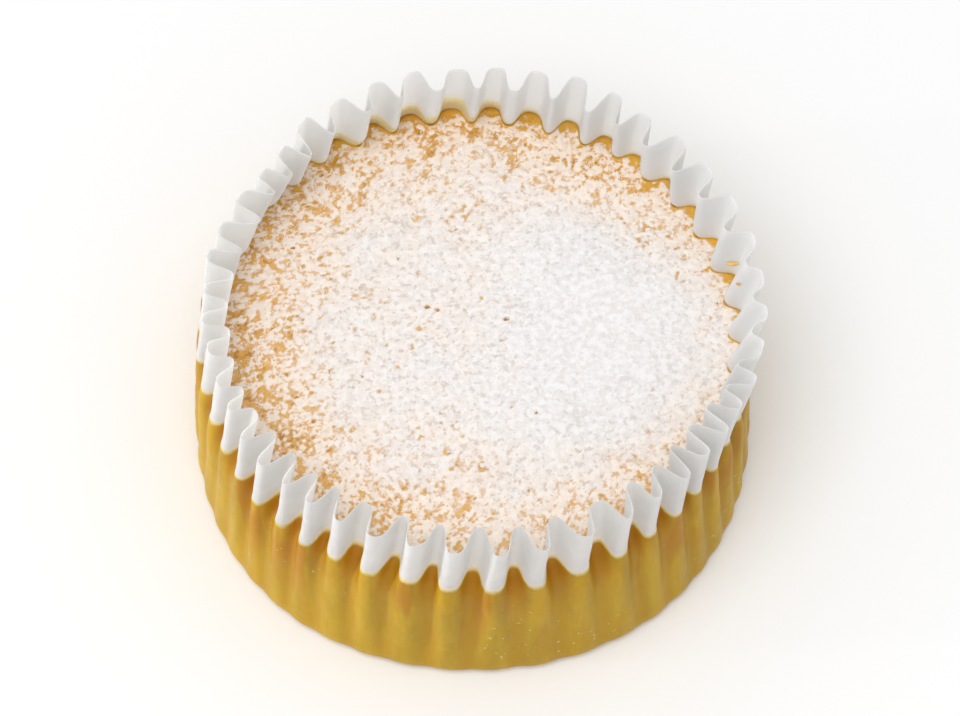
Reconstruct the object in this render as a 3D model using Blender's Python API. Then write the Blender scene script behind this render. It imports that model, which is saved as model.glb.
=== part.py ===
"""A small round cheesecake baked in a pleated white paper case.

Two solids: the cake, and the paper case round it. The case stands free of the cake
as a collar above the cake's edge. Metres, +Z up, base of the case at the origin.
"""

import math
import random

import bmesh
import bpy
from mathutils import Vector, noise

# The paper case
PLEATS = 45
PAPER = 0.00026  # thickness of the case's wall
BASE_ROUND = 0.0016  # radius of the turn from the base into the side
BASE_SQUARE = 0.0004  # the base is this far out of round, towards a square
RIM_HEIGHT = 0.0335
RIM_LEAN = 0.0008  # the collar leans this far towards +X
RIM_UNEVEN = 0.0004  # how far one fold's rim stands above or below the next
OUTER_FOLD = 0.12  # half of an outer fold's flat, as a share of one pleat
INNER_FOLD = 0.06  # half of an inner fold's flat, as a share of one pleat
FIRST_PLEAT = 24.0  # degrees, where the first fold would lie if the pitch were even
PITCH_JITTER = 0.03  # uneven pitch, as a share of one pleat
DEPTH_JITTER = 0.18  # uneven depth, as a share of the pleats' depth

# The folds are closer together on some sides: cosine and sine of once, twice, three and
# four times the angle, in degrees, and the turn that all the folds share
PITCH_DRIFT = ((-3.13, 2.61), (-1.04, -2.29), (-1.45, -0.17), (-0.60, 0.93))
PITCH_TURN = 4.25

# Stretches where the collar is pushed out or in: the middle and half width in degrees,
# the share of the pleats' depth that is lost, and how far the collar stands out
PUSHES = (
    (0.0, 42.0, 0.55, 0.0023),
    (95.0, 55.0, 0.22, 0.0),
    (145.0, 26.0, 0.05, -0.0012),
    (190.0, 45.0, 0.25, 0.0),
)

# Height, mean radius and depth of the pleats, from the base to the rim
STATIONS = (
    (0.0, 0.0371, 0.0005),
    (BASE_ROUND, 0.0371, 0.0006),
    (0.0120, 0.0361, 0.0010),
    (0.0195, 0.0354, 0.0014),
    (0.0240, 0.0341, 0.0030),
    (RIM_HEIGHT, 0.03355, 0.0041),
)
COLLAR_FOOT = 0.0228  # the collar's lean and pushes begin at this height
SHARP_ANGLE = math.radians(35)  # edges steeper than this are shaded sharp
TURN_STEPS = 3  # straight steps in each quarter turn

# The cake
GAP = 0.0003  # between the cake and the case
CAKE_FILL = 0.7  # how far the cake fills the pleats
EDGE_HEIGHT = 0.0222  # top of the cake at its edge
EDGE_ROUND = 0.0020  # radius of the turn from the side into the top
SCALLOPS = 0.0036  # width of the band where the scalloped edge turns round
CROWN = 0.0019  # how far the middle stands above the edge
CROWN_FLATNESS = 2.4  # a higher power makes a flatter crown
RELIEF = 0.00022  # depth of the uneven sugared surface
RELIEF_SCALE = 260.0  # bumps for each metre
FINE_RELIEF = 2.3  # the finer bumps are this many times closer, and half as deep
RING_SPACING = 0.0042  # between the rings of points on the top

CORNERS = 4 * PLEATS  # each pleat has a flat outer fold and a flat inner fold
TOP_CORNERS = CORNERS // 2


def clear_scene():
    for item in list(bpy.data.objects):
        bpy.data.objects.remove(item, do_unlink=True)


def blend(low, high, share):
    return low + (high - low) * share


def station(height):
    """Mean radius and depth of the pleats at a height."""
    height = min(max(height, STATIONS[0][0]), STATIONS[-1][0])
    for low, high in zip(STATIONS, STATIONS[1:]):
        if height <= high[0]:
            share = (height - low[0]) / (high[0] - low[0])
            return blend(low[1], high[1], share), blend(low[2], high[2], share)
    return STATIONS[-1][1:]


def pleat_plan():
    """For each corner of the outline: its angle, its side of the mean (1 or -1), depth and lift."""
    draw = random.Random(11)
    pitch = math.tau / PLEATS
    plan = []
    for index in range(PLEATS):
        shift = PITCH_JITTER * draw.uniform(-1, 1)
        depth = 1 + DEPTH_JITTER * draw.uniform(-1, 1)
        lift = RIM_UNEVEN * draw.uniform(-1, 1)
        for side, middle, half in ((1, 0.0, OUTER_FOLD), (-1, 0.5, INNER_FOLD)):
            for edge in (-half, half):
                angle = math.radians(FIRST_PLEAT) + pitch * (index + shift + middle + edge)
                plan.append((angle + math.radians(drift(angle)), side, depth, lift))
    return plan


def drift(angle):
    """How far a fold is from where an even pitch would put it, in degrees."""
    turn = PITCH_TURN
    for times, (along, across) in enumerate(PITCH_DRIFT, start=1):
        turn += along * math.cos(times * angle) + across * math.sin(times * angle)
    return turn


PLAN = pleat_plan()


def pushed(angle, rise):
    """The share of the pleats' depth that is left, and how far the collar stands out."""
    left = 1.0
    out = 0.0
    for middle, half_width, lost, push in PUSHES:
        away = abs(math.remainder(angle - math.radians(middle), math.tau)) / math.radians(half_width)
        if away < 1:
            share = rise * (0.5 + 0.5 * math.cos(math.pi * away))
            left -= lost * share
            out += push * share
    return left, out


def out_of_round(angle, height):
    """The base is a little square. Towards the rim the case becomes round."""
    return -BASE_SQUARE * math.cos(4 * angle) * (1 - height / RIM_HEIGHT)


def collar_share(height):
    return max(0.0, (height - COLLAR_FOOT) / (RIM_HEIGHT - COLLAR_FOOT))


def sheet_outline(height, inset=0.0):
    """The paper's middle line at a height, one point for each corner of the pleats."""
    mean, depth = station(height)
    rise = collar_share(height)
    points = []
    lean = RIM_LEAN * rise
    for angle, side, uneven, lift in PLAN:
        left, out = pushed(angle, rise)
        radius = mean - inset + side * 0.5 * depth * uneven * left + out
        radius += out_of_round(angle, height)
        x, y = radius * math.cos(angle) + lean, radius * math.sin(angle)
        points.append(Vector((x, y, height + lift * rise)))
    return points


def offset_outline(points, distance):
    """A closed outline moved outwards by a distance, square to its sides."""
    moved = []
    count = len(points)
    for index, point in enumerate(points):
        before = point - points[index - 1]
        after = points[(index + 1) % count] - point
        first = Vector((before.y, -before.x, 0)).normalized()
        second = Vector((after.y, -after.x, 0)).normalized()
        moved.append(point + (first + second) * (distance / (1 + first.dot(second))))
    return moved


def cake_outline(height, inset=0.0):
    """The cake's side at a height: it follows the pleats, but fills only part of each."""
    mean, depth = station(height)
    reach = mean - 0.5 * depth * (1 + DEPTH_JITTER) - PAPER / 2 - GAP - inset
    points = []
    for angle, side, uneven, _ in PLAN:
        radius = reach + CAKE_FILL * depth * (0.5 + 0.5 * side * uneven)
        radius += out_of_round(angle, height)
        points.append(Vector((radius * math.cos(angle), radius * math.sin(angle), height)))
    return points


def skin(mesh, rings):
    """Joins rings of equal length, one after the other, with four-sided faces."""
    for low, high in zip(rings, rings[1:]):
        count = len(low)
        for index in range(count):
            after = (index + 1) % count
            mesh.faces.new((low[index], low[after], high[after], high[index]))


def ring(mesh, points):
    return [mesh.verts.new(point) for point in points]


def material(name, colour, roughness):
    made = bpy.data.materials.new(name)
    made.use_nodes = True
    shader = made.node_tree.nodes["Principled BSDF"]
    shader.inputs["Base Color"].default_value = (*colour, 1)
    shader.inputs["Roughness"].default_value = roughness
    shader.inputs["Metallic"].default_value = 0
    return made


def finish(mesh, name, surface):
    """Turns a bmesh into a named object with its faces pointing out."""
    bmesh.ops.recalc_face_normals(mesh, faces=mesh.faces)
    data = bpy.data.meshes.new(name)
    mesh.to_mesh(data)
    mesh.free()
    data.materials.append(surface)
    made = bpy.data.objects.new(name, data)
    bpy.context.scene.collection.objects.link(made)
    data.shade_smooth()
    data.set_sharp_from_angle(angle=SHARP_ANGLE)
    return made


def turn_levels(radius):
    """Inset and height along a quarter turn, from the flat base up into the side."""
    for step in range(TURN_STEPS + 1):
        angle = 0.5 * math.pi * step / TURN_STEPS
        yield radius * (1 - math.sin(angle)), radius * (1 - math.cos(angle))


def paper_case():
    """The case: one sheet with an outer and an inner face, joined over the rim."""
    mesh = bmesh.new()
    levels = list(turn_levels(BASE_ROUND))
    levels += [(0.0, height) for height, _, _ in STATIONS[2:]]
    outer = []
    inner = []
    for inset, height in levels:
        middle = sheet_outline(height, inset)
        outer.append(ring(mesh, offset_outline(middle, PAPER / 2)))
        # The inner face is raised at the base, where the sheet lies flat.
        lift = PAPER * inset / BASE_ROUND
        raised = [point + Vector((0, 0, lift)) for point in offset_outline(middle, -PAPER / 2)]
        inner.append(ring(mesh, raised))
    skin(mesh, outer)
    skin(mesh, inner[::-1])
    skin(mesh, [outer[-1], inner[-1]])
    mesh.faces.new(outer[0])
    mesh.faces.new(inner[0])
    return finish(mesh, "paper_case", material("white_paper", (0.80, 0.80, 0.79), 0.6))


def crown_height(x, y):
    """The top of the cake, gently domed and uneven."""
    edge = STATIONS[4][1] - EDGE_ROUND
    share = min(1.0, math.hypot(x, y) / edge)
    place = Vector((x, y, 0)) * RELIEF_SCALE
    bumps = noise.noise(place) + 0.5 * noise.noise(place * FINE_RELIEF)
    return EDGE_HEIGHT + CROWN * (1 - share**CROWN_FLATNESS) + RELIEF * bumps


def top_ring(radius, count):
    points = []
    for index in range(count):
        angle = PLAN[index * CORNERS // count][0]
        x, y = radius * math.cos(angle), radius * math.sin(angle)
        points.append((x, y, crown_height(x, y)))
    return points


def cake():
    """The cake: sides pressed into the pleats, a rounded edge and a low crown."""
    mesh = bmesh.new()
    floor = PAPER + GAP
    levels = [(inset, floor + height) for inset, height in turn_levels(BASE_ROUND - floor)]
    levels += [(0.0, height) for height, _, _ in STATIONS[2:4]]
    shoulder = EDGE_HEIGHT - EDGE_ROUND
    rings = [ring(mesh, cake_outline(height, inset)) for inset, height in levels]
    for inset, drop in reversed(list(turn_levels(EDGE_ROUND))):
        rings.append(ring(mesh, cake_outline(shoulder + EDGE_ROUND - drop, inset)))
    skin(mesh, rings)
    mesh.faces.new(rings[0])

    # Inside the rounded edge the top is a grid of rings that closes on the middle.
    first = STATIONS[4][1] - EDGE_ROUND - SCALLOPS
    wide = ring(mesh, top_ring(first, TOP_CORNERS))
    edge = rings[-1]
    for index in range(TOP_CORNERS):
        after = (index + 1) % TOP_CORNERS
        outer = [edge[2 * index], edge[2 * index + 1], edge[(2 * index + 2) % CORNERS]]
        mesh.faces.new((outer[0], outer[1], wide[index]))
        mesh.faces.new((outer[1], outer[2], wide[after], wide[index]))
    top = [wide]
    radius = first - RING_SPACING
    while radius > RING_SPACING:
        top.append(ring(mesh, top_ring(radius, TOP_CORNERS)))
        radius -= RING_SPACING
    skin(mesh, top)
    mesh.faces.new(top[-1])
    return finish(mesh, "cake", material("sugared_cake", (0.93, 0.86, 0.78), 0.85))


clear_scene()
paper_case()
cake()
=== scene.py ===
"""Dresses a small cheesecake in its pleated paper case.

The file is laid out as an add-on: its settings and its operators are listed in a panel
in the 3D view's sidebar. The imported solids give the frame, and each operator makes one
piece of the finished look on it. Metres, +Z up, base of the case at the origin.
"""

import math
import random

import bmesh
import bpy
import numpy as np
from bpy.props import FloatProperty, FloatVectorProperty, IntProperty, PointerProperty
from bpy.types import Operator, Panel, PropertyGroup
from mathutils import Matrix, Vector


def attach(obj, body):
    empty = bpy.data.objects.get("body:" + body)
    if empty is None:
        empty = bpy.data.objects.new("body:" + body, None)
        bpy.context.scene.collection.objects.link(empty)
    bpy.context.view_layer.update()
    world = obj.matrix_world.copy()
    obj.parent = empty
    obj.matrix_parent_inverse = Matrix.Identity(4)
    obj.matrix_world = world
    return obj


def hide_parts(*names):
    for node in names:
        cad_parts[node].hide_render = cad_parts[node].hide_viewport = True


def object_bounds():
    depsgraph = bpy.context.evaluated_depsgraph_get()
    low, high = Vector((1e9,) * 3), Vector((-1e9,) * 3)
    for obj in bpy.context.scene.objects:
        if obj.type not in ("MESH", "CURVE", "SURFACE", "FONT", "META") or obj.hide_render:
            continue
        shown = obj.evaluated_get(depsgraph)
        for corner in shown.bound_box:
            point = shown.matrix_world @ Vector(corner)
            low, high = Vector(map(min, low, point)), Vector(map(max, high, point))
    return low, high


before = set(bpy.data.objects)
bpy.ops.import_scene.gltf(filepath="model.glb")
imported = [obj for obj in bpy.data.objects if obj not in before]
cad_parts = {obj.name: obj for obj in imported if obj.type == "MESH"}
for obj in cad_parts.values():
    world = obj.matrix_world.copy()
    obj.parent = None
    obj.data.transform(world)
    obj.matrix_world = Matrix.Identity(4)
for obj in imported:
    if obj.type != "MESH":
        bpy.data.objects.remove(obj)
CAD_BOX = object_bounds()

bl_info = {
    "name": "Cheesecake in a Paper Case",
    "version": (1, 0, 0),
    "blender": (4, 5, 0),
    "location": "View3D > Sidebar > Cheesecake",
    "description": "Builds a sugared cheesecake in a butter-soaked pleated case",
    "category": "Add Mesh",
}

MM = 0.001

# The case's own plan, as the solids have it
PLEATS = 45
BASE_ROUND = 0.0016
BASE_SQUARE = 0.0004  # the base is this far out of round, towards a square
PLEAT_SEED = 11
OUTER_FOLD = 0.12  # half of an outer fold's flat, as a share of one pleat
INNER_FOLD = 0.06  # the same for an inner fold
FIRST_PLEAT = 24.0  # degrees
PITCH_JITTER = 0.03
PITCH_DRIFT = ((-3.13, 2.61), (-1.04, -2.29), (-1.45, -0.17), (-0.60, 0.93))
PITCH_TURN = 4.25
DEPTH_JITTER = 0.18
RIM_UNEVEN = 0.0004
RIM_LEAN = 0.0008
RIM_HEIGHT = 0.0335
COLLAR_FOOT = 0.0228
# Where the collar is pushed out or in: middle, half width, lost share of depth, and push
PUSHES = (
    (0.0, 42.0, 0.55, 0.0023),
    (95.0, 55.0, 0.22, 0.0),
    (145.0, 26.0, 0.05, -0.0012),
    (190.0, 45.0, 0.25, 0.0),
)
STATION_HEIGHTS = (0.0, BASE_ROUND, 0.0120, 0.0195, 0.0240, RIM_HEIGHT)
STATION_RADII = (0.0371, 0.0371, 0.0361, 0.0354, 0.0341, 0.03355)
STATION_DEPTHS = (0.0001, 0.00025, 0.0009, 0.0014, 0.0030, 0.0041)
STATION_BLUR = 0.0011  # the steps between the stations are rounded over this height
BASE_FLAT = STATION_RADII[0] - BASE_ROUND  # radius of the flat part of the base
BASE_TURN = 0.5 * math.pi * BASE_ROUND  # length of the turn from the base into the side
BASE_FADE = 0.007  # the pleats die out inwards over this width of the base
CREASE = 0.00014  # height of the creases that the inner folds leave on the base

# The folds: between these heights the side's soft pleats turn into the collar's folds
SIDE_TOP = 0.018
COLLAR_START = 0.027
SIDE_BREADTH = 0.7
COLLAR_BREADTH = 1.7
SLANT = 0.55  # how far a fold leans to one side at most

# Detail of the meshes
CASE_STEPS = 22  # columns for each pleat of the case
OUTER_ROW = 0.00068  # between the rows of points on the outer face
INNER_ROW = 0.00062
BASE_ROWS = (0.0012, 0.010, 0.019, 0.0255, 0.0288)  # radii of the rows on the base
HIDDEN_ROWS = (0.0, 0.0035, 0.0070, 0.0125)  # rows behind the cake, from the edge of the base
FINE_INSIDE = 0.0140  # width below the rim that has close rows on the inner face
CRUST_STEPS = 16  # columns for each pleat at the crust's edge
SUGAR_STEPS = 24
PATCH_STEPS = 96  # cells across the coarse sheet that the grains are scattered on

# The cake's top
EDGE_HEIGHT = 0.0222
EDGE_BAND = 0.0006  # the crust climbs a little at the paper, over this width
EDGE_RISE = 0.00025
CROWN = 0.0019
CROWN_RADIUS = 0.033
CROWN_FLATNESS = 2.4  # a higher power makes a flatter crown
SWELLS = ((0.00030, 0.011, 41), (0.00022, 0.0046, 42))  # height, width and seed
CAKE_GAP = 0.00035  # between the side of the cake and the paper
EDGE_GAP = 0.00010  # the same at the cake's top edge
SIDE_LEVELS = (0.0195, 0.0165, 0.0120, 0.0080, 0.0046, 0.0028, 0.0014)
UNDERSIDE_RADIUS = 0.030
UNDERSIDE_HEIGHT = 0.0006

# The dusting
HEAP = (0.0190, 0.0010)  # middle of the place where most sugar fell
HEAP_RADIUS = 0.0105
SUGAR_REACH = 0.995  # the dusting's sheet ends at this share of the crust's edge
SUGARED_RADIUS = 0.0338  # less sugar falls outside this radius, in the pleats
POCKET_SHADE = 1.9  # how much less
POCKET_FADE = 0.0012
SUNKEN_SUGAR = 0.00014  # how far the dusting's sheet lies under bare crust
CLUMP_HEIGHT = 0.000050
THICKEST_SUGAR = 0.00026
SHEET_DEPTH = 0.0008  # the sheet's underside lies this far below the crust's edge
GRAIN_REACH = 0.955  # loose grains fall within this share of the crust's edge

# The sifting: cells across a square, its side, and flakes that fall on a cell
SIFT_CELLS = 768
SIFT_WIDTH = 0.0735
SIFT_DENSITY = 0.35
POWDER = ((0.27, 1.0), (0.48, 0.7), (1.1, 0.4), (2.4, 0.15))  # size in clumps, and weight

# Small dark pits in the crust: x, y and radius
PITS = (
    (-0.0059, 0.0045, 0.00050),
    (-0.0046, 0.0040, 0.00044),
    (0.0043, 0.0027, 0.00052),
    (-0.0235, 0.0138, 0.00034),
    (-0.0098, 0.0118, 0.00028),
    (0.0162, 0.0102, 0.00026),
    (-0.0142, -0.0056, 0.00030),
    (0.0081, -0.0108, 0.00026),
    (-0.0205, -0.0118, 0.00034),
)
PIT_DEPTH = 0.0004
PIT_STRETCH = 1.25  # a pit is this many times longer along X than along Y

# Colours that aren't in the panel
# Painted shade for the inner folds of the dry paper
FOLD_SHADE_GREY = (0.66, 0.66, 0.64)
# Painted light for the inner face of the dry paper
INNER_LIT_WHITE = (0.88, 0.88, 0.87)
# Painted shade for the inner folds of the soaked paper
FOLD_SHADE_BROWN = (0.40, 0.185, 0.008)
BASE_YELLOW = (0.53, 0.345, 0.03)
INNER_GOLD = (0.80, 0.65, 0.36)
WET_FRINGE = (0.74, 0.58, 0.22)
DRY_FRINGE = (0.76, 0.72, 0.58)
PALE_FLECK = (0.92, 0.82, 0.55)
PALE_CRUST = (0.88, 0.58, 0.22)
BROWN_CRUST = (0.42, 0.17, 0.03)
EDGE_CRUST = (0.78, 0.43, 0.035)
FILMED_CRUST = (0.84, 0.56, 0.30)
PIT_BROWN = (0.46, 0.24, 0.08)
# Painted shade between the clumps where the sugar is thick
SHEER_SHADE_GREY = (0.66, 0.60, 0.56)
GRAIN_CREAM = (0.96, 0.86, 0.76)
GRAIN_WHITE = (0.94, 0.94, 0.95)
CRUMB_BROWN = (0.66, 0.31, 0.06)

# The camera
TARGET = Vector((0.0, 0.0, 0.015))
IMAGE_WIDTH = 960
IMAGE_HEIGHT = 716
TARGET_PIXEL = (473.0, 369.6)


def colour_setting(name, description, default):
    return FloatVectorProperty(
        name=name, description=description, default=default, subtype="COLOR", min=0.0, max=1.0
    )


def length_setting(name, description, default, **more):
    return FloatProperty(name=name, description=description, default=default, unit="LENGTH", **more)


class CaseSettings(PropertyGroup):
    """Sizes and colours of the paper case."""

    thickness: length_setting(
        "Paper Thickness", "Thickness of the paper", 0.00015, min=0.0001, precision=5
    )
    butter_line: length_setting(
        "Butter Line", "Height that the butter has reached on the outer folds", 0.0227, precision=4
    )
    butter_creep: length_setting(
        "Butter Creep", "How much higher the butter stands in the inner folds", 0.0014, precision=4
    )
    crumple: length_setting(
        "Crumple", "Height of the small dents in the paper", 0.00007, precision=5
    )
    white: colour_setting("Dry Paper", "Colour of the dry paper", (0.65, 0.645, 0.62))
    soaked: colour_setting(
        "Soaked Paper", "Colour of the paper over the golden side of the cake", (0.475, 0.277, 0.010)
    )
    # Partly the cake's brown edge seen through the paper, partly painted shade under the collar
    browned_and_shade: colour_setting(
        "Browned Edge and Shade", "Colour of the browned edge that shows through the paper", (0.43, 0.175, 0.006)
    )


class CakeSettings(PropertyGroup):
    """Sizes and colours of the cake and its dusting."""

    fill: FloatProperty(
        name="Pleat Fill",
        description="How far the cake's edge fills the pleats",
        default=1.0,
        min=0.0,
        max=1.0,
        subtype="FACTOR",
    )
    crust: colour_setting("Crust", "Colour of the baked crust", (0.70, 0.355, 0.06))
    thin_sugar: colour_setting(
        "Thin Sugar", "Colour of sugar that lets the crust show through", (0.73, 0.37, 0.078)
    )
    light_sugar: colour_setting(
        "Light Sugar", "Colour of sugar that lies lightly on the crust", (0.98, 0.86, 0.75)
    )
    # Partly crust seen through thin sugar, partly painted shade between the clumps
    sheer_and_shaded_sugar: colour_setting(
        "Sheer and Shaded Sugar", "Colour of the small thin places between the clumps", (0.79, 0.64, 0.52)
    )
    thick_sugar: colour_setting(
        "Thick Sugar", "Colour of sugar that covers the crust", (0.92, 0.90, 0.90)
    )
    clump: length_setting(
        "Clump Size", "Width of the clumps of sugar", 0.00048, min=0.0002, precision=5
    )
    grains: IntProperty(
        name="Loose Grains",
        description="Number of loose grains of sugar on the crust",
        default=6500,
        min=0,
    )
    grain_size: length_setting(
        "Grain Size", "Radius of a loose grain of sugar", 0.00012, min=0.00001, precision=5
    )
    seed: IntProperty(name="Seed", description="Seed of everything scattered", default=7)


class StageSettings(PropertyGroup):
    """The floor, the lights and the camera."""

    distance: length_setting(
        "Camera Distance", "Distance from the camera to the middle of the cake", 0.600
    )
    elevation: FloatProperty(
        name="Camera Elevation",
        description="Angle of the camera above the horizon",
        default=math.radians(62.6),
        subtype="ANGLE",
    )
    lens: FloatProperty(
        name="Lens",
        description="Focal length of the camera",
        default=172.0,
        min=10.0,
        unit="CAMERA",
    )
    key_power: FloatProperty(
        name="Key Light",
        description="Power of the large soft light overhead",
        default=4.2,
        min=0.0,
        unit="POWER",
    )
    ambient: FloatProperty(
        name="Ambient", description="Strength of the light from all round", default=0.69, min=0.0
    )
    floor_colour: colour_setting("Floor", "Colour of the floor", (0.965, 0.97, 0.975))


# ---- fields and noise


def ease(share):
    return share * share * (3 - 2 * share)


def smooth_step(low, high, value):
    return ease(np.clip((value - low) / (high - low), 0, 1))


def lattice_noise(u, v, wrap, seed):
    """Smooth noise from 0 to 1. u and v are in lumps, and u comes round again after wrap."""
    grid = np.random.RandomState(seed).rand(wrap, wrap)
    column = np.floor(u).astype(int)
    row = np.floor(v).astype(int)
    across = ease(u - column)
    up = ease(v - row)
    left, right = column % wrap, (column + 1) % wrap
    below, above = row % wrap, (row + 1) % wrap
    low = grid[below, left] * (1 - across) + grid[below, right] * across
    high = grid[above, left] * (1 - across) + grid[above, right] * across
    return low * (1 - up) + high * up


def patches(x, y, size, seed):
    """Smooth noise from 0 to 1 over the plane, with lumps of a size in metres."""
    turned = np.cos(seed) * x - np.sin(seed) * y, np.sin(seed) * x + np.cos(seed) * y
    return lattice_noise(turned[0] / size + 97, turned[1] / size + 53, 251, seed)


# ---- the pleats


def pleat_draws():
    """Each pleat's shift, depth and lift, in the order in which the solids draw them."""
    draw = random.Random(PLEAT_SEED)
    rows = [[draw.uniform(-1, 1) for _ in range(3)] for _ in range(PLEATS)]
    shift, depth, lift = np.array(rows).T
    return shift * PITCH_JITTER, 1 + DEPTH_JITTER * depth, lift * RIM_UNEVEN


def pleat_columns(steps):
    """For each column round the case: its angle, its phase in the pleat, depth and lift."""
    shift, depth, lift = pleat_draws()
    place = np.arange(PLEATS * steps) / steps
    index = np.floor(place).astype(int)
    phase = place - index
    # One pleat's values turn into the next one's on the flank between them.
    share = smooth_step(0.5 + INNER_FOLD, 1 - OUTER_FOLD, phase)
    after = (index + 1) % PLEATS

    def between(values):
        return values[index] * (1 - share) + values[after] * share

    angle = math.radians(FIRST_PLEAT) + math.tau / PLEATS * (place + between(shift))
    turn = PITCH_TURN
    for times, (along, across) in enumerate(PITCH_DRIFT, start=1):
        turn = turn + along * np.cos(times * angle) + across * np.sin(times * angle)
    return angle + np.radians(turn), phase, between(depth), between(lift)


def fold_wave(phase, breadth, balance):
    """The fold's side to side wave, from -1 on the inner fold to 1 on the outer fold.

    More breadth gives rounder folds with steeper flanks, and more balance broader outer folds.
    """
    high = np.tanh(breadth * (balance + 1))
    low = np.tanh(breadth * (balance - 1))
    wave = np.tanh(breadth * (balance + np.cos(math.tau * phase)))
    return (2 * wave - high - low) / (high - low)


def around_noise(phase, seed):
    """Smooth noise from -1 to 1 along the columns, with a lump for each pleat."""
    place = np.arange(phase.size).reshape(phase.shape) / phase.size * PLEATS
    return 2 * lattice_noise(place, 0 * place, PLEATS, seed) - 1


def folds(columns, height):
    """The wave of the folds at a height, and how far the paper stands out from its mean radius."""
    angle, phase, depth, _ = columns
    collar = smooth_step(SIDE_TOP, COLLAR_START, height)
    lean = SLANT * around_noise(phase, 22) * (np.cos(math.tau * phase) - 1) / math.tau
    # The collar's outer folds are broader at the back than at the front.
    balance = 0.14 + 0.24 * np.sin(angle) + 0.22 * around_noise(phase, 23)
    breadth = SIDE_BREADTH + (COLLAR_BREADTH - SIDE_BREADTH) * collar
    wave = fold_wave(phase + lean * collar, breadth, 0.5 + (balance - 0.5) * collar)
    # Down the side each pleat is stronger and weaker by turns.
    around = angle / math.tau * PLEATS
    weak = 0.6 + 0.8 * lattice_noise(around, np.asarray(height) / 0.009, PLEATS, 21)
    uneven = depth * (weak + (1 - weak) * smooth_step(SIDE_TOP, 0.024, height))
    left, out = pushed(angle, collar_share(height))
    return wave, 0.5 * stations(height, STATION_DEPTHS) * uneven * wave * left + out


def stations(height, values):
    """A value of the case at a height, with the steps between the stations rounded."""
    parts = [
        np.interp(height + STATION_BLUR * step, STATION_HEIGHTS, values) for step in (-1, -0.5, 0, 0.5, 1)
    ]
    return sum(parts) / len(parts)


def collar_share(height):
    return np.clip((height - COLLAR_FOOT) / (RIM_HEIGHT - COLLAR_FOOT), 0, None)


def pushed(angle, rise):
    """The share of the pleats' depth that is left, and how far the collar stands out."""
    left, out = 1.0, 0.0
    for middle, half_width, lost, push in PUSHES:
        turn = np.mod(angle - math.radians(middle) + math.pi, math.tau) - math.pi
        away = np.clip(np.abs(turn) / math.radians(half_width), 0, 1)
        share = rise * (0.5 + 0.5 * np.cos(math.pi * away))
        left = left - lost * share
        out = out + push * share
    return left, out


def out_of_round(angle, height):
    return -BASE_SQUARE * np.cos(4 * angle) * (1 - height / RIM_HEIGHT)


def path_at(height):
    """How far along the paper a height on its side lies, from the middle of the base."""
    return BASE_FLAT + BASE_TURN + height - BASE_ROUND


def paper_middle(path, angle, phase, depth, lift, paper):
    """The paper's middle line. path runs from the middle of the base to the rim.

    Returns points of shape (rows, columns, 3) and the wave of the folds.
    """
    path = np.asarray(path)[:, None]
    bend = np.clip((path - BASE_FLAT) / BASE_TURN, 0, 1) * 0.5 * math.pi
    inset = BASE_ROUND * (1 - np.sin(bend)) + np.clip(BASE_FLAT - path, 0, None)
    height = BASE_ROUND * (1 - np.cos(bend)) + np.clip(path - BASE_FLAT - BASE_TURN, 0, None)

    rise = collar_share(height)
    wave, reach = folds((angle[None, :], phase[None, :], depth[None, :], lift), height)
    fade = np.clip(1 - (inset - BASE_ROUND) / BASE_FADE, 0, 1)
    radius = stations(height, STATION_RADII) - inset + reach * fade
    radius = radius + out_of_round(angle, height) * fade
    on_base = np.clip(inset / BASE_ROUND, 0, 1)
    creases = CREASE * (0.5 - 0.5 * wave) * fade * on_base
    level = height + lift * rise + creases + 0.5 * paper * on_base
    points = np.stack([radius * np.cos(angle) + RIM_LEAN * rise, radius * np.sin(angle), level], axis=-1)
    return points, wave + 0 * points[..., 0]


def paper_face(path, columns, paper, crumple, side):
    """The outer (side 1) or inner (side -1) face of the paper, and the wave of its folds."""
    step = 1e-5
    middle, wave = paper_middle(path, *columns, paper)
    ahead, _ = paper_middle(np.asarray(path) + step, *columns, paper)
    across = np.roll(middle, -1, axis=1) - np.roll(middle, 1, axis=1)
    normal = np.cross(across, ahead - middle)
    normal /= np.linalg.norm(normal, axis=-1, keepdims=True)
    around = columns[0][None, :] / math.tau
    along = np.asarray(path)[:, None]
    # Small dents of two sizes. The middle of the base has none.
    dents = (
        lattice_noise(around * 61, along / 0.0031, 61, 31)
        + 0.6 * lattice_noise(around * 149, along / 0.0013, 149, 32)
        - 0.8
    )
    calm = smooth_step(0.020, 0.031, along)
    # The paper's cut edge is thinner than the sheet.
    thin = 1 - 0.6 * smooth_step(0.0012, 0.0, along[-1] - along)
    moved = middle + normal * (side * 0.5 * paper * thin + crumple * dents * calm)[..., None]
    moved[..., 2] = np.maximum(moved[..., 2], 0)
    return moved, wave


def cake_edge(height, columns, gap):
    """The cake's outline at a height, with a gap to the paper's inner face."""
    _, reach = folds(columns, height)
    lowest = -0.5 * stations(height, STATION_DEPTHS)
    filled = lowest + cake().fill * (reach - lowest)
    radius = stations(height, STATION_RADII) + filled + out_of_round(columns[0], height)
    return radius - 0.5 * case().thickness - gap


def read_round(angle, columns, values):
    """Values given for each column, read at other angles."""
    known = np.mod(columns[0], math.tau)
    order = np.argsort(known)
    return np.interp(np.mod(angle, math.tau), known[order], values[order], period=math.tau)


# ---- mesh tools


def case():
    return bpy.context.scene.cheesecake_case


def cake():
    return bpy.context.scene.cheesecake_cake


def stage():
    return bpy.context.scene.cheesecake_stage


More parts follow.
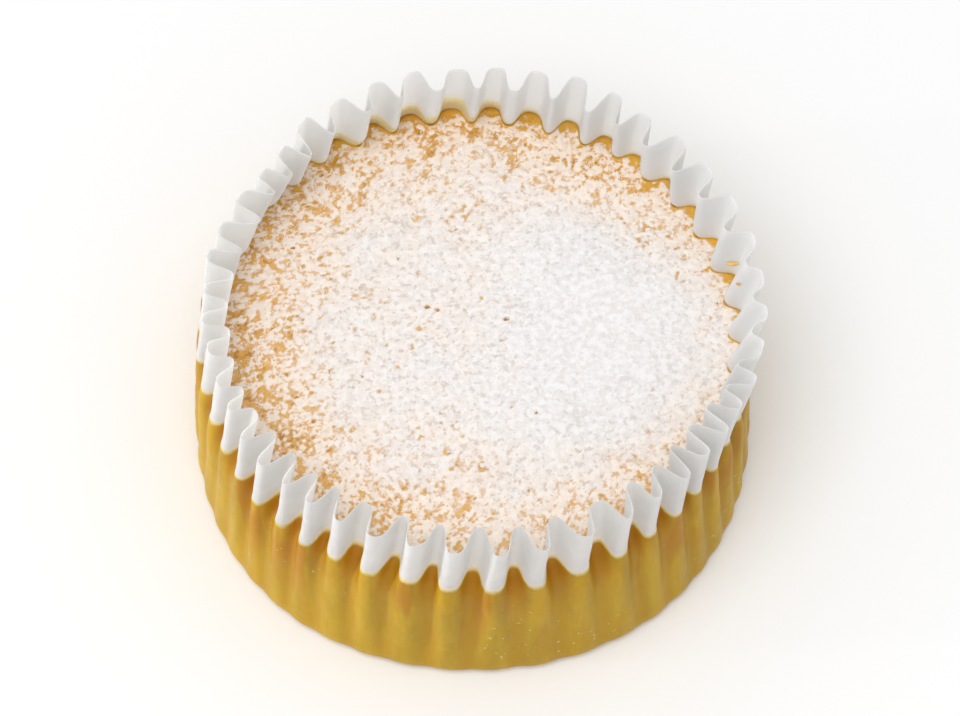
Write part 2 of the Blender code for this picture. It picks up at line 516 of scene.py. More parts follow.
class Shape:
    """Gathers points and faces, and turns them into one closed mesh."""

    def __init__(self):
        self.points = []
        self.faces = []
        self.count = 0

    def add(self, points):
        """Adds points, and returns their numbers in the same arrangement."""
        points = np.asarray(points, float)
        numbers = np.arange(self.count, self.count + points[..., 0].size).reshape(points.shape[:-1])
        self.points.append(points.reshape(-1, 3))
        self.count += numbers.size
        return numbers

    def sheet(self, numbers, wrap=True, flip=False):
        """Four-sided faces over a grid of numbers. wrap joins its last column to its first."""
        if wrap:
            numbers = np.concatenate([numbers, numbers[:, :1]], axis=1)
        low, high = numbers[:-1], numbers[1:]
        corners = [low[:, :-1], low[:, 1:], high[:, 1:], high[:, :-1]]
        if flip:
            corners.reverse()
        self.faces += np.stack(corners, axis=-1).reshape(-1, 4).tolist()

    def cap(self, numbers, flip=False):
        loop = [int(number) for number in numbers]
        self.faces.append(loop[::-1] if flip else loop)

    def make(self, name, attributes, surface):
        """The finished object. attributes gives arrays that hold one number for each point."""
        points = np.concatenate(self.points)
        data = bpy.data.meshes.new(name)
        data.from_pydata(points.tolist(), [], self.faces)
        data.validate()
        for label, values in attributes.items():
            layer = data.attributes.new(label, "FLOAT", "POINT")
            layer.data.foreach_set("value", np.concatenate(values).astype(np.float32))
        face_outwards(data)
        data.shade_smooth()
        data.materials.append(surface)
        return show(name, data)


def show(name, data):
    """A new object in the scene."""
    made = bpy.data.objects.new(name, data)
    bpy.context.scene.collection.objects.link(made)
    return made


def face_outwards(data):
    mesh = bmesh.new()
    mesh.from_mesh(data)
    bmesh.ops.recalc_face_normals(mesh, faces=mesh.faces)
    mesh.to_mesh(data)
    mesh.free()


def disc_grid(steps):
    """A square grid of points laid over a disc of radius 1, all its cells of like size.

    Returns each point's share of the radius and its angle, and the outer loop's places.
    """
    line = np.linspace(-1, 1, steps + 1)
    a, b = np.meshgrid(line, line, indexing="ij")
    wide = np.abs(a) > np.abs(b)
    safe_a = np.where(wide, a, 1)
    safe_b = np.where(wide | (b == 0), 1, b)
    share = np.where(wide, a, b)
    angle = np.where(wide, math.pi / 4 * b / safe_a, math.pi / 2 - math.pi / 4 * a / safe_b)
    angle = np.where(share < 0, angle + math.pi, angle)
    share = np.abs(share)
    last = steps
    loop = [(last, j) for j in range(last)] + [(last - i, last) for i in range(last)]
    loop += [(0, last - j) for j in range(last)] + [(i, 0) for i in range(last)]
    return share, np.mod(angle, math.tau), loop


# ---- materials


class Looks:
    """A Principled material, with short ways to add nodes to it."""

    def __init__(self, name):
        self.material = bpy.data.materials.new(name)
        self.material.use_nodes = True
        self.tree = self.material.node_tree
        self.shader = self.tree.nodes["Principled BSDF"]
        self.coords = self.tree.nodes.new("ShaderNodeTexCoord").outputs["Object"]

    def put(self, socket, value):
        if isinstance(value, bpy.types.NodeSocket):
            self.tree.links.new(value, socket)
        elif hasattr(value, "__len__") and len(value) == 3 and socket.type == "RGBA":
            socket.default_value = (*value, 1.0)
        else:
            socket.default_value = value

    def set(self, **values):
        for name, value in values.items():
            self.put(self.shader.inputs[name.replace("_", " ")], value)

    def attribute(self, name):
        node = self.tree.nodes.new("ShaderNodeAttribute")
        node.attribute_name = name
        return node.outputs["Fac"]

    def stretched(self, scale):
        """Object coordinates with a scale for each axis."""
        node = self.tree.nodes.new("ShaderNodeMapping")
        self.put(node.inputs["Vector"], self.coords)
        node.inputs["Scale"].default_value = scale
        return node.outputs["Vector"]

    def noise(self, scale, detail=2.0, rough=0.5, vector=None):
        node = self.tree.nodes.new("ShaderNodeTexNoise")
        self.put(node.inputs["Vector"], vector or self.coords)
        node.inputs["Scale"].default_value = scale
        node.inputs["Detail"].default_value = detail
        node.inputs["Roughness"].default_value = rough
        return node.outputs["Fac"]

    def math(self, operation, first, second):
        node = self.tree.nodes.new("ShaderNodeMath")
        node.operation = operation
        self.put(node.inputs[0], first)
        self.put(node.inputs[1], second)
        return node.outputs[0]

    def times(self, first, second):
        return self.math("MULTIPLY", first, second)

    def ruffled(self, value, noise, amount):
        """The value moved up and down by a noise from 0 to 1."""
        return self.math("ADD", value, self.times(self.math("SUBTRACT", noise, 0.5), amount))

    def span(self, value, low, high, to_low=0.0, to_high=1.0):
        """Value mapped smoothly from low..high to to_low..to_high."""
        node = self.tree.nodes.new("ShaderNodeMapRange")
        node.interpolation_type = "SMOOTHSTEP"
        for socket, number in zip(node.inputs, (value, low, high, to_low, to_high)):
            self.put(socket, number)
        return node.outputs["Result"]

    def mix(self, share, first, second):
        node = self.tree.nodes.new("ShaderNodeMix")
        node.data_type = "RGBA"
        self.put(node.inputs["Factor"], share)
        self.put(node.inputs[6], first)
        self.put(node.inputs[7], second)
        return node.outputs[2]

    def bump(self, height, strength, distance):
        node = self.tree.nodes.new("ShaderNodeBump")
        node.inputs["Strength"].default_value = strength
        node.inputs["Distance"].default_value = distance
        self.put(node.inputs["Height"], height)
        self.put(self.shader.inputs["Normal"], node.outputs["Normal"])

    def scatter(self, red, green, blue):
        """How far light of each colour spreads under the surface, in millimetres."""
        self.shader.inputs["Subsurface Radius"].default_value = (red * MM, green * MM, blue * MM)
        self.shader.inputs["Subsurface Scale"].default_value = 1.0


def shade(colour, factor):
    return tuple(min(1.0, channel * factor) for channel in colour)


def case_paper():
    """White greaseproof paper, soaked gold by butter below a ragged line."""
    sizes = case()
    looks = Looks("greaseproof_paper")
    fold = looks.attribute("fold")
    inside = looks.attribute("inside")
    # In millimetres outside, and half of that inside, which softens the stain's edge
    line = looks.ruffled(looks.attribute("above_line"), looks.noise(620, 3, 0.6), 0.9)

    cloud = looks.noise(300, 3, 0.55)
    dry = looks.mix(looks.span(cloud, 0.3, 0.7), shade(sizes.white, 0.955), shade(sizes.white, 1.03))
    # Painted shade: the dry paper is greyer in its inner folds.
    dry = looks.mix(looks.span(fold, -1.0, 0.9, 0.10, 0.0), dry, FOLD_SHADE_GREY)
    # Painted light: the dry paper's inner face is lighter than its outer face.
    dry = looks.mix(inside, dry, looks.mix(0.8, dry, INNER_LIT_WHITE))

    # Golden paper: streaked, with painted shade that browns the inner folds, and yellower towards the
    # base
    streak = looks.noise(1.0, 3, 0.6, looks.stretched((330, 330, 60)))
    gold = looks.mix(
        looks.span(streak, 0.30, 0.70), shade(sizes.soaked, 0.80), shade(sizes.soaked, 1.14)
    )
    mottle = looks.noise(950, 4, 0.6)
    gold = looks.mix(looks.span(mottle, 0.35, 0.75, 0.0, 0.22), gold, shade(sizes.soaked, 1.35))
    # Painted shade: the soaked paper is browner in its inner folds.
    gold = looks.mix(looks.span(fold, -0.9, 0.7, 0.5, 0.0), gold, FOLD_SHADE_BROWN)
    gold = looks.mix(looks.span(line, -11.0, -4.0, 0.35, 0.0), gold, BASE_YELLOW)

    # The cake's brown edge shows through in patches and upright bands. The patches, just below the butter
    # line and strongest in the inner folds, are also painted shade under the collar.
    under = looks.times(looks.span(line, -8.0, -1.5), looks.span(fold, 0.7, -0.5, 0.15, 1.0))
    patchy_brown_and_shade = looks.times(under, looks.span(looks.noise(210, 2), 0.34, 0.62, 0.55, 1.0))
    bands = looks.span(looks.noise(1.0, 2, 0.5, looks.stretched((300, 300, 38))), 0.50, 0.60)
    bands = looks.times(bands, looks.span(line, -17.0, -4.0, 0.15, 0.8))
    gold = looks.mix(looks.math("MAXIMUM", patchy_brown_and_shade, bands), gold, sizes.browned_and_shade)
    gold = looks.mix(inside, gold, INNER_GOLD)

    fringe = looks.mix(looks.span(line, 0.1, 0.8), WET_FRINGE, DRY_FRINGE)
    colour = looks.mix(looks.span(line, -0.60, 0.25), gold, fringe)
    colour = looks.mix(looks.span(line, 0.20, 1.10), colour, dry)

    # A few pale flecks low on the side
    flecks = looks.span(looks.noise(1500, 1, 0.4), 0.70, 0.75)
    where = looks.times(flecks, looks.span(looks.noise(75, 1), 0.52, 0.66))
    where = looks.times(where, looks.span(line, -3.0, -7.0))
    colour = looks.mix(looks.times(where, 0.45), colour, PALE_FLECK)

    wet = looks.span(line, 0.4, -0.6)
    rough = looks.math("SUBTRACT", looks.span(cloud, 0.2, 0.8, 0.58, 0.70), looks.times(wet, 0.22))
    looks.set(Base_Color=colour, Roughness=rough, Specular_IOR_Level=0.12)
    looks.set(Subsurface_Weight=looks.math("SUBTRACT", 0.80, looks.times(wet, 0.7)))
    looks.scatter(2.2, 2.2, 2.0)
    fibres = looks.math("ADD", looks.noise(2600, 2, 0.6), looks.times(looks.noise(520, 3), 1.4))
    looks.bump(fibres, 0.35, 0.00006)
    return looks.material


def crust_surface():
    """Golden baked crust with small dark pits and a film of sugar under the dusting."""
    sizes = cake()
    looks = Looks("golden_crust")
    large = looks.noise(170, 3, 0.55)
    colour = looks.mix(looks.span(large, 0.32, 0.68), shade(sizes.crust, 0.74), shade(sizes.crust, 1.14))
    fine = looks.noise(1400, 4, 0.65)
    colour = looks.mix(looks.span(fine, 0.44, 0.66, 0.0, 0.7), colour, PALE_CRUST)
    brown = looks.span(looks.noise(900, 3, 0.6), 0.54, 0.64, 0.0, 0.75)
    colour = looks.mix(brown, colour, BROWN_CRUST)
    edge = looks.times(looks.attribute("edge"), looks.span(large, 0.3, 0.7, 0.5, 0.95))
    colour = looks.mix(edge, colour, EDGE_CRUST)
    film = looks.ruffled(looks.attribute("film"), looks.noise(2100, 3, 0.6), 1.6)
    colour = looks.mix(looks.span(film, 0.28, 0.80, 0.0, 0.45), colour, FILMED_CRUST)
    colour = looks.mix(looks.span(looks.attribute("pit"), 0.1, 0.6), colour, PIT_BROWN)
    looks.set(Base_Color=colour, Specular_IOR_Level=0.35, Subsurface_Weight=0.08)
    looks.set(Roughness=looks.span(large, 0.2, 0.8, 0.46, 0.66))
    looks.scatter(1.0, 0.6, 0.3)
    looks.bump(fine, 0.5, 0.00010)
    return looks.material


def sugar_surface():
    """Icing sugar: creamy where it is thin, cool white where it is thick."""
    sizes = cake()
    looks = Looks("icing_sugar")
    grain = looks.noise(3600, 3, 0.65)
    thick = looks.ruffled(looks.attribute("thickness"), grain, 0.07)  # in millimetres
    drift = looks.math("ADD", looks.attribute("level"), looks.times(looks.noise(520, 2), 1.2))
    heap = looks.mix(looks.span(drift, 1.3, 3.4), sizes.light_sugar, sizes.thick_sugar)
    # Painted shade between the clumps: tan where the sugar is thin, partly crust showing through, and
    # grey where it is thick
    sheer_and_shade = looks.mix(looks.span(drift, 1.2, 3.2), sizes.sheer_and_shaded_sugar, SHEER_SHADE_GREY)
    # Painted shade: patches of it are mixed into the heaped sugar.
    uneven = looks.times(looks.span(looks.noise(1200, 3, 0.6), 0.62, 0.38), 0.35)
    heap = looks.mix(uneven, heap, sheer_and_shade)
    # Where the sugar is thick, the bare places take the painted shade's grey.
    bare = looks.mix(looks.span(drift, 1.25, 2.7), sizes.thin_sugar, sheer_and_shade)
    colour = looks.mix(looks.span(thick, -0.015, 0.065), bare, heap)
    fleck = looks.span(looks.noise(1250, 3, 0.6), 0.54, 0.63)
    fleck = looks.times(fleck, looks.span(drift, 4.2, 2.1, 0.30, 0.85))
    colour = looks.mix(fleck, colour, bare)
    looks.set(Base_Color=colour, Specular_IOR_Level=0.2, Subsurface_Weight=0.12)
    looks.set(Roughness=looks.span(grain, 0.3, 0.7, 0.82, 0.95))
    looks.scatter(0.5, 0.4, 0.35)
    looks.bump(grain, 0.35, 0.00006)
    return looks.material


def grain_surface():
    looks = Looks("sugar_grains")
    tint = looks.noise(420, 2)
    colour = looks.mix(looks.span(tint, 0.35, 0.65), GRAIN_CREAM, GRAIN_WHITE)
    looks.set(Base_Color=colour, Specular_IOR_Level=0.3, Subsurface_Weight=0.1)
    looks.set(Roughness=looks.span(looks.noise(3000, 2), 0.3, 0.7, 0.7, 0.9))
    looks.bump(looks.noise(5200, 2), 0.5, 0.00004)
    return looks.material


def crumb_surface():
    looks = Looks("golden_crumb")
    tint = looks.noise(1300, 3, 0.6)
    colour = looks.mix(looks.span(tint, 0.35, 0.65), CRUMB_BROWN, PALE_CRUST)
    looks.set(Base_Color=colour, Specular_IOR_Level=0.3)
    looks.set(Roughness=looks.span(tint, 0.3, 0.7, 0.6, 0.85))
    looks.bump(looks.noise(3200, 3), 0.6, 0.00008)
    return looks.material


def floor_surface():
    looks = Looks("pale_floor")
    cloud = looks.noise(3.0, 2)
    plain = stage().floor_colour
    colour = looks.mix(looks.span(cloud, 0.3, 0.7), shade(plain, 0.992), shade(plain, 1.0))
    looks.set(Base_Color=colour)
    looks.set(Roughness=looks.span(cloud, 0.3, 0.7, 0.8, 0.9), Specular_IOR_Level=0.1)
    return looks.material


# ---- the cake's top


def crust_height(x, y):
    """The crust with its swells and pits, but without the rise at its edge."""
    share = np.clip(np.hypot(x, y) / CROWN_RADIUS, 0, 1)
    swell = sum(high * (patches(x, y, width, seed) - 0.5) for high, width, seed in SWELLS)
    height = EDGE_HEIGHT + CROWN * (1 - share**CROWN_FLATNESS) + swell
    return height - PIT_DEPTH * pit_share(x, y)


def pit_share(x, y):
    """1 in the middle of a pit, 0 on sound crust."""
    share = np.zeros_like(x)
    for pit_x, pit_y, radius in PITS:
        away = np.hypot(x - pit_x, (y - pit_y) * PIT_STRETCH) / radius
        share = np.maximum(share, 1 - smooth_step(0.3, 1.0, away))
    return share


def top_points(share, angle, columns):
    """Points of the crust, with the radius as a share of the scalloped edge."""
    edge = read_round(angle, columns, cake_edge(EDGE_HEIGHT + EDGE_RISE, columns, EDGE_GAP))
    # The scallops die out towards the middle.
    plain = float(np.mean(edge))
    radius = share * (plain + (edge - plain) * share**10)
    x, y = radius * np.cos(angle), radius * np.sin(angle)
    close = 1 - np.clip((edge - radius) / EDGE_BAND, 0, 1)
    return x, y, crust_height(x, y) + EDGE_RISE * close**2


def dusting_level(x, y):
    """How much sugar fell: 0 covers half of the crust, 1 covers five sixths, 2 nearly all."""
    heavy = np.exp(-((x - HEAP[0]) ** 2 + (y - HEAP[1]) ** 2) / (2 * HEAP_RADIUS**2))
    # Less fell on the left towards the front, and at the rim.
    left = smooth_step(0.006, 0.030, -0.90 * x - 0.44 * y)
    rim = smooth_step(0.016, 0.0335, np.hypot(x, y))
    drifts = patches(x, y, 0.0065, 51) - 0.5 + 0.8 * (patches(x, y, 0.0026, 52) - 0.5)
    return 1.90 + 1.8 * heavy - 0.40 * left - 1.02 * rim + 0.5 * drifts


def sifted(seed, clump):
    """A square field of sifted powder: clumps that fell at random, about 0 on average."""
    draw = np.random.RandomState(seed)
    frequency = np.fft.fftfreq(SIFT_CELLS, SIFT_WIDTH / SIFT_CELLS)
    squared = frequency[:, None] ** 2 + frequency[None, :] ** 2
    field = np.zeros((SIFT_CELLS, SIFT_CELLS))
    for size, weight in POWDER:
        fallen = draw.poisson(SIFT_DENSITY, field.shape).astype(float)
        blur = np.exp(-2 * (math.pi * size * clump) ** 2 * squared)
        layer = np.fft.ifft2(np.fft.fft2(fallen) * blur).real
        field += weight * (layer - layer.mean()) / layer.std()
    return field / field.std()


def read_field(field, x, y):
    """The field's value at places in metres, between its cells too."""
    u = (x / SIFT_WIDTH + 0.5) * (SIFT_CELLS - 1)
    v = (y / SIFT_WIDTH + 0.5) * (SIFT_CELLS - 1)
    column = np.clip(np.floor(u).astype(int), 0, SIFT_CELLS - 2)
    row = np.clip(np.floor(v).astype(int), 0, SIFT_CELLS - 2)
    s, t = u - column, v - row
    low = field[row, column] * (1 - s) + field[row, column + 1] * s
    high = field[row + 1, column] * (1 - s) + field[row + 1, column + 1] * s
    return low * (1 - t) + high * t


def sugar_thickness(x, y, seed):
    """Thickness of the dusting in metres. It is below 0 where the crust is bare."""
    clumps = read_field(sifted(seed, cake().clump), x, y)
    pocket = smooth_step(SUGARED_RADIUS, SUGARED_RADIUS + POCKET_FADE, np.hypot(x, y))
    thickness = CLUMP_HEIGHT * (clumps + dusting_level(x, y) - POCKET_SHADE * pocket)
    thickness -= PIT_DEPTH * pit_share(x, y)
    return np.clip(thickness, -SUNKEN_SUGAR, THICKEST_SUGAR)


# ---- operators


def finish_piece(piece, node=None):
    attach(piece, "root")
    if node:
        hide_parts(node)


class CHEESECAKE_OT_paper_case(Operator):
    """Make the pleated paper case, soaked with butter below its collar"""

    bl_idname = "cheesecake.paper_case"
    bl_label = "Paper Case"

    # The stain inside the collar: its middle and width in radians, and its height
    STAIN_ANGLE = 1.75
    STAIN_WIDTH = 0.38
    STAIN_HEIGHT = 0.0031
    INNER_LINE = EDGE_HEIGHT - 0.0007  # the butter line inside, away from the stain

    def execute(self, context):
        sizes = case()
        columns = pleat_columns(CASE_STEPS)
        end = path_at(RIM_HEIGHT) - 0.5 * sizes.thickness
        outer_rows = np.arange(BASE_FLAT - 0.0005, end, OUTER_ROW)
        hidden = BASE_FLAT + np.array(HIDDEN_ROWS)
        inner_rows = np.arange(end - FINE_INSIDE, end, INNER_ROW)
        outer_path = np.concatenate([BASE_ROWS, outer_rows, [end]])
        inner_path = np.concatenate([BASE_ROWS, hidden, inner_rows, [end]])

        shape = Shape()
        above = []
        waves = []
        inside = []
        grids = []
        for path, side in ((outer_path, 1), (inner_path, -1)):
            points, wave = paper_face(path, columns, sizes.thickness, sizes.crumple, side)
            grids.append(shape.add(points))
            above.append(self.above_line(points, wave, columns, side).ravel())
            waves.append(wave.ravel())
            inside.append(np.full(wave.size, 0.5 - 0.5 * side))
        outer, inner = grids
        shape.sheet(outer)
        shape.sheet(inner, flip=True)
        shape.sheet(np.stack([outer[-1], inner[-1]]))
        shape.cap(outer[0], flip=True)
        shape.cap(inner[0])
        amounts = {"above_line": above, "fold": waves, "inside": inside}
        made = shape.make("pleated_case", amounts, case_paper())
        finish_piece(made, "paper_case")
        return {"FINISHED"}

    def above_line(self, points, wave, columns, side):
        """Height above the butter line: in millimetres outside, and half of that inside.

        Inside, the line stands near the cake's edge, and higher where the stain is.
        """
        sizes = case()
        around = columns[0][None, :] / math.tau
        wander = lattice_noise(around * PLEATS, 0 * around, PLEATS, 61) - 0.5
        wander = wander + 0.6 * (lattice_noise(around * 17, 0 * around, 17, 62) - 0.5)
        creep = smooth_step(0.12, 0.95, 0.5 - 0.5 * wave) * sizes.butter_creep
        line = sizes.butter_line + creep + 0.0009 * wander
        if side < 0:
            away = (np.mod(columns[0], math.tau) - self.STAIN_ANGLE) / self.STAIN_WIDTH
            stain = np.exp(-(away**2))[None, :]
            line = self.INNER_LINE + self.STAIN_HEIGHT * stain + 0.0014 * wander
            return (points[..., 2] - line) / (2 * MM)
        return (points[..., 2] - line) / MM


class CHEESECAKE_OT_cake(Operator):
    """Make the cake with its baked crust and its edge pressed into the pleats"""

    bl_idname = "cheesecake.cake"
    bl_label = "Cake"

    def execute(self, context):
        columns = pleat_columns(CRUST_STEPS)
        steps = PLEATS * CRUST_STEPS // 4
        share, angle, loop = disc_grid(steps)
        x, y, z = top_points(share, angle, columns)
        shape = Shape()
        top = shape.add(np.stack([x, y, z], axis=-1))
        shape.sheet(top, wrap=False)
        reach = smooth_step(0.96, 0.91, share)
        film = np.clip(0.30 + 0.26 * dusting_level(x, y), 0, 1) * reach
        edge = smooth_step(0.92, 0.97, share)

        rings = [np.array([top[place] for place in loop])]
        rim_angle = np.array([angle[place] for place in loop])
        for height in SIDE_LEVELS:
            above = max(0.0, BASE_ROUND - height)
            inset = BASE_ROUND - math.sqrt(max(0.0, BASE_ROUND**2 - above**2))
            radius = cake_edge(height, columns, CAKE_GAP) - inset
            rings.append(self.ring(shape, read_round(rim_angle, columns, radius), rim_angle, height))
        rings.append(self.ring(shape, UNDERSIDE_RADIUS, rim_angle, UNDERSIDE_HEIGHT))
        shape.sheet(np.stack(rings))
        shape.cap(rings[-1])
        below = np.zeros(len(loop) * (len(rings) - 1))
        amounts = {
            "pit": [pit_share(x, y).ravel(), below],
            "film": [film.ravel(), below],
            "edge": [edge.ravel(), below + 1],
        }
        made = shape.make("baked_cake", amounts, crust_surface())
        finish_piece(made, "cake")
        return {"FINISHED"}

    @staticmethod
    def ring(shape, radius, angle, height):
        points = [radius * np.cos(angle), radius * np.sin(angle), 0 * angle + height]
        return shape.add(np.stack(points, axis=-1))


class CHEESECAKE_OT_icing_sugar(Operator):
    """Dust the crust with icing sugar, as a thin sheet that shows where it is thick enough"""

    bl_idname = "cheesecake.icing_sugar"
    bl_label = "Icing Sugar"

    def execute(self, context):
        columns = pleat_columns(CRUST_STEPS)
        share, angle, loop = disc_grid(PLEATS * SUGAR_STEPS // 4)
        x, y, z = top_points(share * SUGAR_REACH, angle, columns)
        thickness = sugar_thickness(x, y, cake().seed)
        # The sheet sinks into the crust along its edge.
        fade = smooth_step(0.993, 1.0, share)
        thickness = np.clip(thickness - 0.0004 * fade, -SUNKEN_SUGAR, None)
        shape = Shape()
        top = shape.add(np.stack([x, y, z + thickness], axis=-1))
        shape.sheet(top, wrap=False)
        rim = np.array([top[place] for place in loop])
        low = np.array([[x[place], y[place], z[place] - SHEET_DEPTH] for place in loop])
        low[:, :2] *= 0.99
        under = shape.add(low)
        shape.sheet(np.stack([rim, under]))
        shape.cap(under)
        amounts = [thickness.ravel() / MM, np.full(len(loop), -SUNKEN_SUGAR / MM)]
        levels = [dusting_level(x, y).ravel(), np.zeros(len(loop))]
        made = shape.make("icing_sugar", {"thickness": amounts, "level": levels}, sugar_surface())
        finish_piece(made)
        return {"FINISHED"}


class CHEESECAKE_OT_sugar_grains(Operator):
    """Scatter loose grains of sugar over the crust with Geometry Nodes"""

    bl_idname = "cheesecake.sugar_grains"
    bl_label = "Loose Grains"

    # The smallest and largest grain along its own axes, in grain sizes
    SMALLEST = (0.5, 0.5, 0.4)
    LARGEST = (1.9, 1.5, 0.9)

    def execute(self, context):
        sizes = cake()
        host = self.crust_patch()
        tree = self.scatter_tree(grain_surface())
        modifier = host.modifiers.new("Scatter", "NODES")
        modifier.node_group = tree
        area = math.pi * CROWN_RADIUS**2
        inputs = {
            "Grains per Area": sizes.grains / area,
            "Grain Size": sizes.grain_size,
            "Seed": sizes.seed,
        }
        sockets = {item.name: item.identifier for item in tree.interface.items_tree}
        for name, value in inputs.items():
            modifier[sockets[name]] = value
        graph = context.evaluated_depsgraph_get()
        data = bpy.data.meshes.new_from_object(host.evaluated_get(graph))
        bpy.data.objects.remove(host, do_unlink=True)
        data.name = "loose_grains"
        finish_piece(show("loose_grains", data))
        return {"FINISHED"}

    @staticmethod
    def crust_patch():
        """The crust's top as a coarse sheet, with the share of sugar that falls on it."""
        columns = pleat_columns(CRUST_STEPS)
        share, angle, _ = disc_grid(PATCH_STEPS)
        x, y, z = top_points(share * GRAIN_REACH, angle, columns)
        shape = Shape()
        shape.sheet(shape.add(np.stack([x, y, z], axis=-1)), wrap=False)
        data = bpy.data.meshes.new("crust_patch")
        data.from_pydata(np.concatenate(shape.points).tolist(), [], shape.faces)
        layer = data.attributes.new("dusting", "FLOAT", "POINT")
        share = np.clip(0.4 + 0.3 * dusting_level(x, y), 0, 1)
        layer.data.foreach_set("value", share.ravel().astype(np.float32))
        return show("crust_patch", data)

    def scatter_tree(self, surface):
        tree = bpy.data.node_groups.new("Scatter Sugar Grains", "GeometryNodeTree")
        for name, way, kind in (
            ("Geometry", "INPUT", "Geometry"),
            ("Grains per Area", "INPUT", "Float"),
            ("Grain Size", "INPUT", "Float"),
            ("Seed", "INPUT", "Int"),
            ("Geometry", "OUTPUT", "Geometry"),
        ):
            tree.interface.new_socket(name, in_out=way, socket_type="NodeSocket" + kind)

        def add(kind, inputs, **settings):
            """A node's outputs. Its inputs are linked to sockets, or set to values."""
            node = tree.nodes.new(kind)
            for name, value in settings.items():
                setattr(node, name, value)
            for name, value in inputs.items():
                if isinstance(value, bpy.types.NodeSocket):
                    tree.links.new(value, node.inputs[name])
                else:
                    node.inputs[name].default_value = value
            return node.outputs

        start = add("NodeGroupInput", {})
        dusting = add("GeometryNodeInputNamedAttribute", {"Name": "dusting"}, data_type="FLOAT")
        amounts = {0: start["Grains per Area"], 1: dusting["Attribute"]}
        amount = add("ShaderNodeMath", amounts, operation="MULTIPLY")
        spread = {"Mesh": start["Geometry"], "Density": amount[0], "Seed": start["Seed"]}
        scatter = add("GeometryNodeDistributePointsOnFaces", spread)
        grain = add("GeometryNodeMeshIcoSphere", {"Subdivisions": 1, "Radius": 1.0})
        turns = {"Max": (math.tau, math.tau, math.tau), "Seed": start["Seed"]}
        turn = add("FunctionNodeRandomValue", turns, data_type="FLOAT_VECTOR")
        scales = {"Min": self.SMALLEST, "Max": self.LARGEST, "Seed": start["Seed"]}
        scale = add("FunctionNodeRandomValue", scales, data_type="FLOAT_VECTOR")
        sizes = {0: scale["Value"], "Scale": start["Grain Size"]}
        sized = add("ShaderNodeVectorMath", sizes, operation="SCALE")
        places = {
            "Points": scatter["Points"],
            "Instance": grain["Mesh"],
            "Rotation": turn["Value"],
            "Scale": sized["Vector"],
        }
        copies = add("GeometryNodeInstanceOnPoints", places)
        real = add("GeometryNodeRealizeInstances", {"Geometry": copies["Instances"]})
        paint = {"Geometry": real["Geometry"], "Material": surface}
        painted = add("GeometryNodeSetMaterial", paint)
        add("NodeGroupOutput", {"Geometry": painted["Geometry"]})
        return tree


class CHEESECAKE_OT_crumbs(Operator):
    """Place the few golden crumbs that cling to the inside of the collar"""

    bl_idname = "cheesecake.crumbs"
    bl_label = "Crumbs"

    # Angle, height and half length of each crumb on the collar's inner face
    ON_COLLAR = (
        (16.9, 0.0257, 0.00075),
        (8.8, 0.0290, 0.00032),
        (24.0, 0.0262, 0.00040),
        (348.0, 0.0268, 0.00035),
    )
    STAND_OFF = 0.50  # from the paper to a crumb's middle, as a share of its half length

    def execute(self, context):
        sizes = case()
        draw = random.Random(cake().seed)
        columns = pleat_columns(CASE_STEPS)
        whole = bmesh.new()
        for degrees, height, size in self.ON_COLLAR:
            points, _ = paper_face([path_at(height)], columns, sizes.thickness, sizes.crumple, -1)
            away = np.mod(columns[0] - math.radians(degrees) + math.pi, math.tau) - math.pi
            here = int(np.argmin(np.abs(away)))
            across = np.roll(points[0], -1, axis=0) - np.roll(points[0], 1, axis=0)
            along = Vector(across[here]).normalized()
            inwards = Vector((-along.y, along.x, 0)).normalized()
            spot = Vector(points[0, here]) + inwards * size * self.STAND_OFF
            self.crumb(whole, spot, (inwards, along, Vector((0, 0, 1))), size, draw)
        data = bpy.data.meshes.new("golden_crumbs")
        whole.to_mesh(data)
        whole.free()
        face_outwards(data)
        data.shade_smooth()
        data.materials.append(crumb_surface())
        finish_piece(show("golden_crumbs", data))
        return {"FINISHED"}

    @staticmethod
    def crumb(whole, spot, axes, size, draw):
        """Adds one lumpy crumb to a mesh. Its thin, long and middle sides lie along the axes."""
        found = bmesh.ops.create_icosphere(whole, subdivisions=3, radius=1.0)
        stretch = (draw.uniform(0.32, 0.46), 1.0, draw.uniform(0.35, 0.6))
        bumps = [Vector([draw.gauss(0, 1) for _ in range(3)]).normalized() for _ in range(9)]
        for vert in found["verts"]:
            lumpy = 1 + 0.16 * sum(max(0.0, vert.co.dot(bump)) ** 6 for bump in bumps)
            steps = [axis * part * scale for axis, part, scale in zip(axes, vert.co, stretch)]
            vert.co = sum(steps, Vector()) * lumpy * size + spot


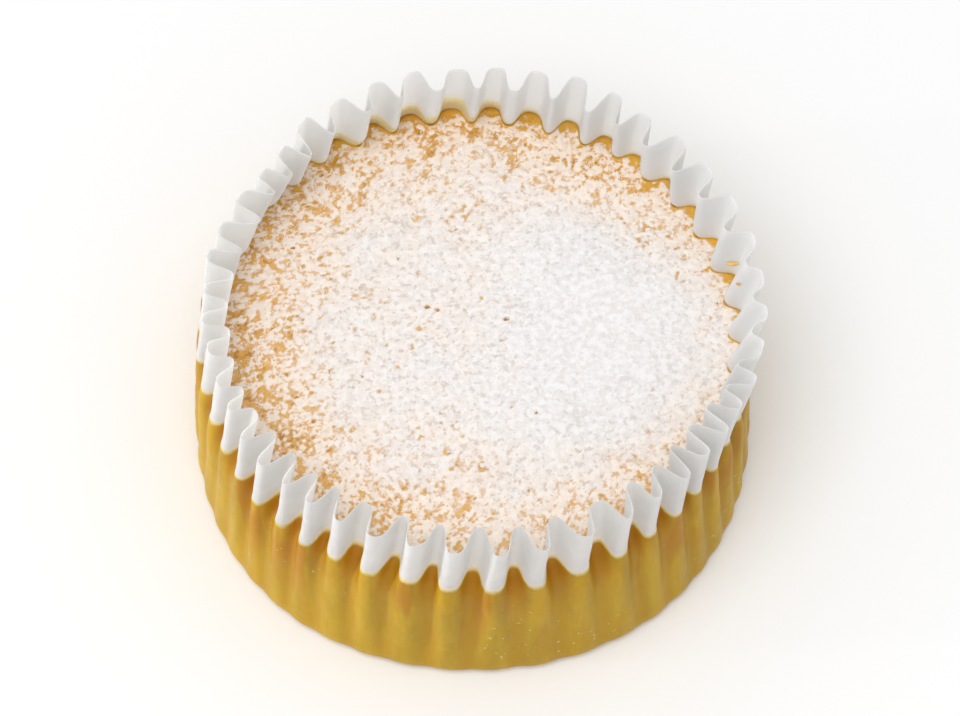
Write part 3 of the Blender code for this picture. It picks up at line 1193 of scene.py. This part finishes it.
class CHEESECAKE_OT_stage(Operator):
    """Set the pale floor, the soft lights and the camera"""

    bl_idname = "cheesecake.stage"
    bl_label = "Stage"

    # Name, place, width, and power as a share of the key light's
    LAMPS = (
        ("key_light", (-0.16, -0.28, 0.95), 0.70, 1.0),
        ("side_light", (-0.92, -0.12, 0.028), 0.06, 0.95),
    )

    def execute(self, context):
        scene = context.scene
        sizes = stage()
        mesh = bmesh.new()
        bmesh.ops.create_grid(mesh, x_segments=8, y_segments=8, size=1.5)
        data = bpy.data.meshes.new("studio_floor")
        mesh.to_mesh(data)
        mesh.free()
        data.materials.append(floor_surface())
        floor = show("studio_floor", data)
        floor.location.z = CAD_BOX[0][2] - 0.0001

        world = bpy.data.worlds.new("soft_surround")
        world.use_nodes = True
        shader = world.node_tree.nodes["Background"]
        shader.inputs["Color"].default_value = (1.0, 1.0, 1.0, 1.0)
        shader.inputs["Strength"].default_value = sizes.ambient
        scene.world = world
        for name, place, size, share in self.LAMPS:
            self.lamp(name, Vector(place), size, sizes.key_power * share)

        angle = sizes.elevation
        data = bpy.data.cameras.new("camera")
        data.lens = sizes.lens
        data.sensor_width = 36.0
        data.clip_start = 0.01
        data.shift_x = (IMAGE_WIDTH / 2 - TARGET_PIXEL[0]) / IMAGE_WIDTH
        data.shift_y = (TARGET_PIXEL[1] - IMAGE_HEIGHT / 2) / IMAGE_WIDTH
        camera = show("camera", data)
        away = Vector((0.0, -math.cos(angle), math.sin(angle)))
        camera.location = TARGET + away * sizes.distance
        camera.rotation_euler = (math.pi / 2 - angle, 0.0, 0.0)
        scene.camera = camera
        scene.view_settings.view_transform = "Standard"
        return {"FINISHED"}

    @staticmethod
    def lamp(name, place, size, power):
        data = bpy.data.lights.new(name, "AREA")
        data.shape = "DISK"
        data.size = size
        data.energy = power
        lamp = show(name, data)
        lamp.location = place
        lamp.rotation_euler = (TARGET - place).to_track_quat("-Z", "Y").to_euler()


PIECES = (
    CHEESECAKE_OT_paper_case,
    CHEESECAKE_OT_cake,
    CHEESECAKE_OT_icing_sugar,
    CHEESECAKE_OT_sugar_grains,
    CHEESECAKE_OT_crumbs,
    CHEESECAKE_OT_stage,
)
SETTINGS = (
    ("cheesecake_case", CaseSettings),
    ("cheesecake_cake", CakeSettings),
    ("cheesecake_stage", StageSettings),
)


class CHEESECAKE_PT_panel(Panel):
    """Lists the settings and the pieces"""

    bl_idname = "CHEESECAKE_PT_panel"
    bl_label = "Cheesecake"
    bl_space_type = "VIEW_3D"
    bl_region_type = "UI"
    bl_category = "Cheesecake"

    def draw(self, context):
        layout = self.layout
        for name, group in SETTINGS:
            box = layout.box()
            for prop in group.__annotations__:
                box.prop(getattr(context.scene, name), prop)
        for piece in PIECES:
            layout.operator(piece.bl_idname)


def register():
    for name, group in SETTINGS:
        bpy.utils.register_class(group)
        setattr(bpy.types.Scene, name, PointerProperty(type=group))
    for piece in (*PIECES, CHEESECAKE_PT_panel):
        bpy.utils.register_class(piece)


def unregister():
    for piece in (CHEESECAKE_PT_panel, *reversed(PIECES)):
        bpy.utils.unregister_class(piece)
    for name, group in reversed(SETTINGS):
        delattr(bpy.types.Scene, name)
        bpy.utils.unregister_class(group)


def main():
    register()
    for piece in PIECES:
        family, action = piece.bl_idname.split(".")
        getattr(getattr(bpy.ops, family), action)()


if __name__ == "__main__":
    main()
